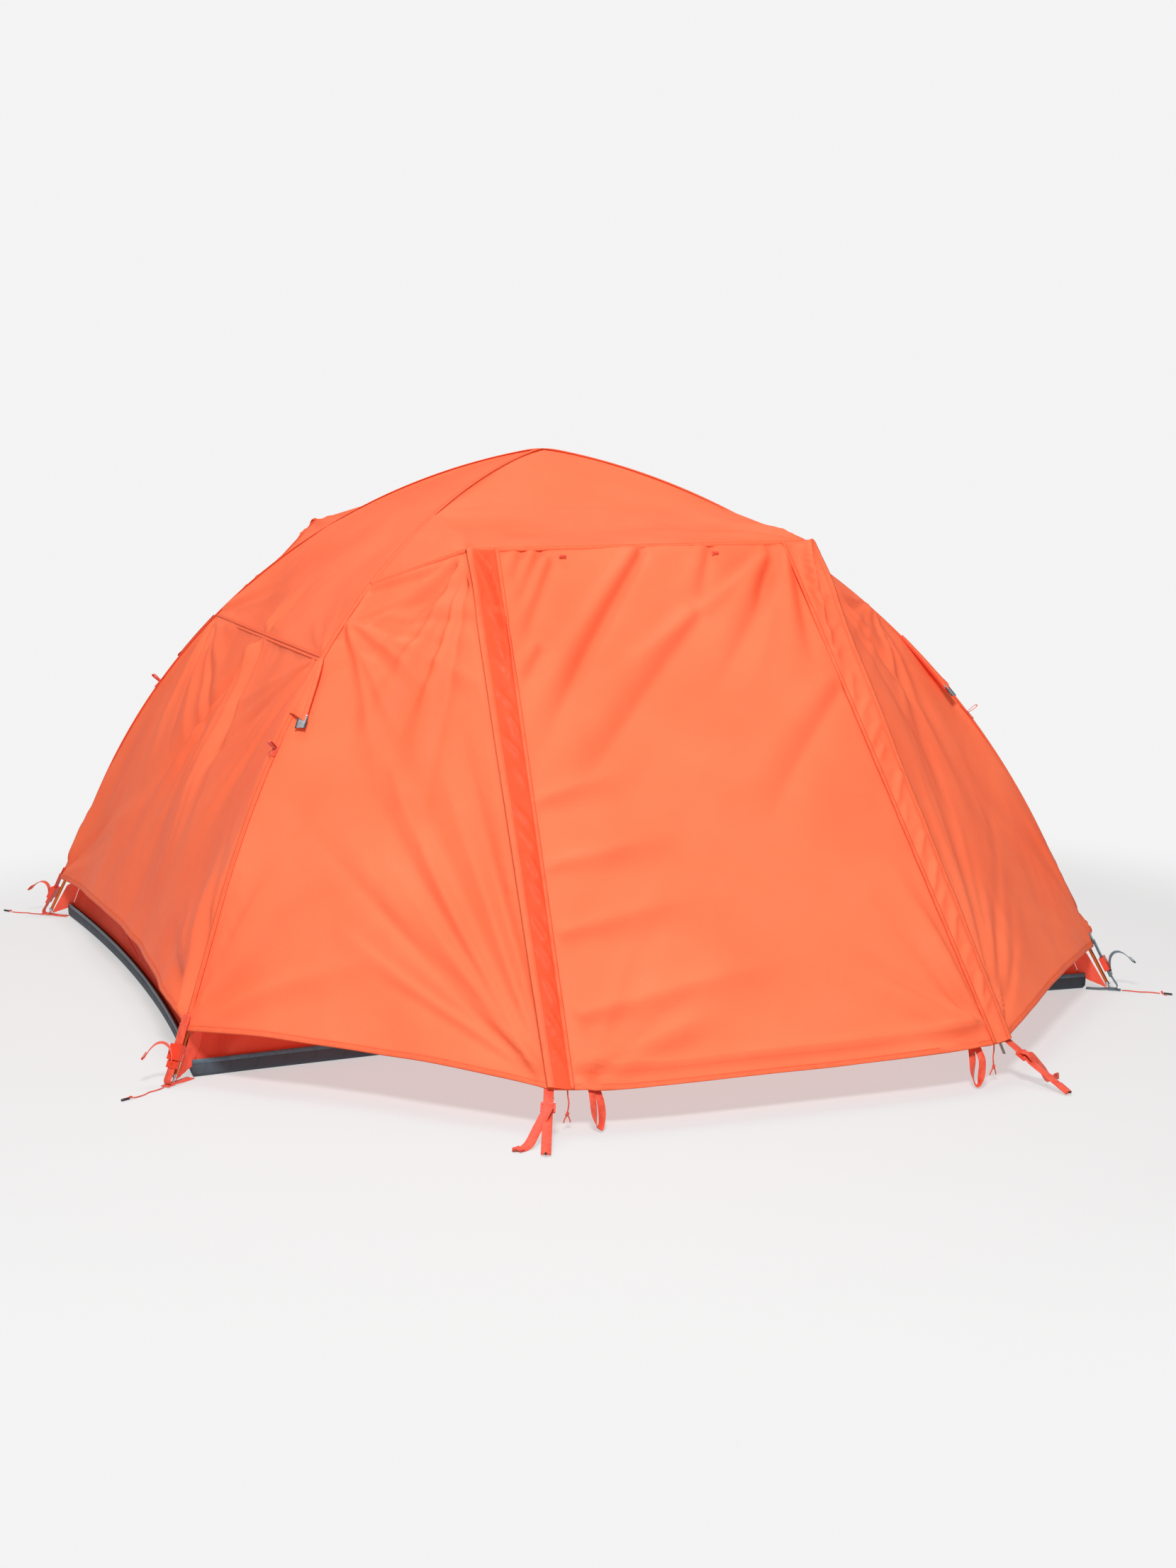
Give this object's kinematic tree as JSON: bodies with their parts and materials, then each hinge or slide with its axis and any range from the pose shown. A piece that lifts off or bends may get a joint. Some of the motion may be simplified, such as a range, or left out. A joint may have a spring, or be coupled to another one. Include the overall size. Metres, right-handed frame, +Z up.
{
  "type": "two-pole dome tent",
  "caption": "Free-standing dome tent: crossed arched poles, an orange rainfly with front and rear porches, and a hung inner tent with a tub floor.",
  "frame": {"origin": "on the ground under the peak, at the middle of the floor", "axes": "+X along the tent's long side (left end to right end), -Y towards the front porch, +Z up"},
  "size_m": [2.5448, 3.2502, 1.2987],
  "materials": {
    "fly": "coral-orange coated ripstop polyester, satin",
    "inner_fabric": "red breathable nylon taffeta",
    "inner_mesh": "fine mesh door panel",
    "floor": "blue-grey coated floor cloth",
    "pole": "orange-brown anodised tube",
    "ferrule": "bare satin sleeve",
    "tip": "turned end plug",
    "elastic": "braided elastic cord",
    "hub_plastic": "black nylon",
    "webbing": "orange-red flat webbing",
    "buckle": "red acetal",
    "zip": "coil zip tape",
    "slider": "die-cast slider with cord pull",
    "eyelet": "plated eyelet",
    "cord": "braided guy cord",
    "cord_end": "black cord end"
  },
  "bodies": {
    "tent": {"main_pole_upper": "pole", "main_pole_lower": "pole", "shock_cord_upper": "elastic", "shock_cord_lower": "elastic", "pole_ferrules": "ferrule", "pole_tips": "tip", "crossing_hub": "hub_plastic", "brow_pole_front": "pole", "brow_pole_rear": "pole", "brow_pole_clips": "hub_plastic", "inner_clips": "hub_plastic", "floor_tub": "floor", "inner_wall_right": "inner_fabric", "inner_wall_left": "inner_fabric", "inner_wall_front": "inner_fabric", "inner_wall_rear": "inner_fabric", "fly_roof_cap": "fly", "fly_end_wall_right": "fly", "fly_end_wall_left": "fly", "fly_porch_side_front_left": "fly", "fly_porch_side_front_right": "fly", "fly_porch_side_rear_left": "fly", "fly_porch_side_rear_right": "fly", "guy_loops": "webbing", "zip_tapes_front": "zip", "zip_tapes_rear": "zip", "porch_straps": "webbing", "ladder_locks": "buckle", "stake_cord_front_left": "cord", "stake_cord_front_right": "cord", "stake_cord_rear_left": "cord", "stake_cord_rear_right": "cord", "corner_webbing": "webbing", "corner_eyelets": "eyelet", "buckle_sockets": "buckle", "hem_webbing": "webbing", "stake_cord_ends": "cord_end"},
    "porch_door_front": {"fly_door_front": "fly", "storm_flaps_front": "fly", "door_loops_front": "webbing", "brow_toggles_front": "hub_plastic"},
    "inner_door_front": {"inner_door_front": "inner_mesh"},
    "porch_door_rear": {"fly_door_rear": "fly", "storm_flaps_rear": "fly", "door_loops_rear": "webbing", "brow_toggles_rear": "hub_plastic"},
    "inner_door_rear": {"inner_door_rear": "inner_mesh"},
    "zip_slider_front_left": {"zip_slider_front_left": "slider"},
    "zip_slider_front_right": {"zip_slider_front_right": "slider"},
    "zip_slider_rear_left": {"zip_slider_rear_left": "slider"},
    "zip_slider_rear_right": {"zip_slider_rear_right": "slider"},
    "guy_flap_front_left": {"guy_flap_front_left": "fly"},
    "guy_flap_front_right": {"guy_flap_front_right": "fly"},
    "guy_flap_rear_left": {"guy_flap_rear_left": "fly"},
    "guy_flap_rear_right": {"guy_flap_rear_right": "fly"},
    "buckle_plug_front_left": {"buckle_plug_front_left": "buckle"},
    "buckle_plug_front_right": {"buckle_plug_front_right": "buckle"},
    "buckle_plug_rear_left": {"buckle_plug_rear_left": "buckle"},
    "buckle_plug_rear_right": {"buckle_plug_rear_right": "buckle"}
  },
  "joints": [
    {"name": "porch_door_front_lift", "type": "hinge", "parent": "tent", "child": "porch_door_front", "pos_m": [0, -0.679, 1.094], "axis": [-1, 0, 0], "range_deg": [0, 60]},
    {"name": "porch_door_rear_lift", "type": "hinge", "parent": "tent", "child": "porch_door_rear", "pos_m": [0, 0.679, 1.094], "axis": [1, 0, 0], "range_deg": [0, 60]},
    {"name": "zip_front_left_slide", "type": "slide", "parent": "tent", "child": "zip_slider_front_left", "axis": [0.0722, 0.6178, 0.7831], "range_m": [0, 1.16]},
    {"name": "zip_front_right_slide", "type": "slide", "parent": "tent", "child": "zip_slider_front_right", "axis": [-0.0722, 0.6178, 0.7831], "range_m": [0, 1.16]},
    {"name": "zip_rear_left_slide", "type": "slide", "parent": "tent", "child": "zip_slider_rear_left", "axis": [0.0722, -0.6178, 0.7831], "range_m": [0, 1.16]},
    {"name": "zip_rear_right_slide", "type": "slide", "parent": "tent", "child": "zip_slider_rear_right", "axis": [-0.0722, -0.6178, 0.7831], "range_m": [0, 1.16]},
    {"name": "guy_flap_front_left_lift", "type": "hinge", "parent": "tent", "child": "guy_flap_front_left", "pos_m": [-0.73139, -0.56794, 0.85149], "axis": [-0.6133, 0.7898, 0], "range_deg": [0, 35]},
    {"name": "guy_flap_front_right_lift", "type": "hinge", "parent": "tent", "child": "guy_flap_front_right", "pos_m": [0.73139, -0.56794, 0.85149], "axis": [-0.6133, -0.7898, 0], "range_deg": [0, 35]},
    {"name": "guy_flap_rear_left_lift", "type": "hinge", "parent": "tent", "child": "guy_flap_rear_left", "pos_m": [-0.73139, 0.56794, 0.85149], "axis": [0.6133, 0.7898, 0], "range_deg": [0, 35]},
    {"name": "guy_flap_rear_right_lift", "type": "hinge", "parent": "tent", "child": "guy_flap_rear_right", "pos_m": [0.73139, 0.56794, 0.85149], "axis": [0.6133, -0.7898, 0], "range_deg": [0, 35]},
    {"name": "buckle_front_left_release", "type": "slide", "parent": "tent", "child": "buckle_plug_front_left", "axis": [-0.3619, -0.281, -0.8889], "range_m": [0, 0.022]},
    {"name": "buckle_front_right_release", "type": "slide", "parent": "tent", "child": "buckle_plug_front_right", "axis": [0.3791, -0.2944, -0.8773], "range_m": [0, 0.022]},
    {"name": "buckle_rear_left_release", "type": "slide", "parent": "tent", "child": "buckle_plug_rear_left", "axis": [-0.3791, 0.2944, -0.8773], "range_m": [0, 0.022]},
    {"name": "buckle_rear_right_release", "type": "slide", "parent": "tent", "child": "buckle_plug_rear_right", "axis": [0.3619, 0.281, -0.8889], "range_m": [0, 0.022]},
    {"name": "inner_door_front_swing", "type": "hinge", "parent": "tent", "child": "inner_door_front", "pos_m": [-0.283, -0.79785, 0.11123], "axis": [0, -0.266, -0.964], "range_deg": [0, 38]},
    {"name": "inner_door_rear_swing", "type": "hinge", "parent": "tent", "child": "inner_door_rear", "pos_m": [0.283, 0.79785, 0.11123], "axis": [0, 0.266, -0.964], "range_deg": [0, 38]}
  ]
}
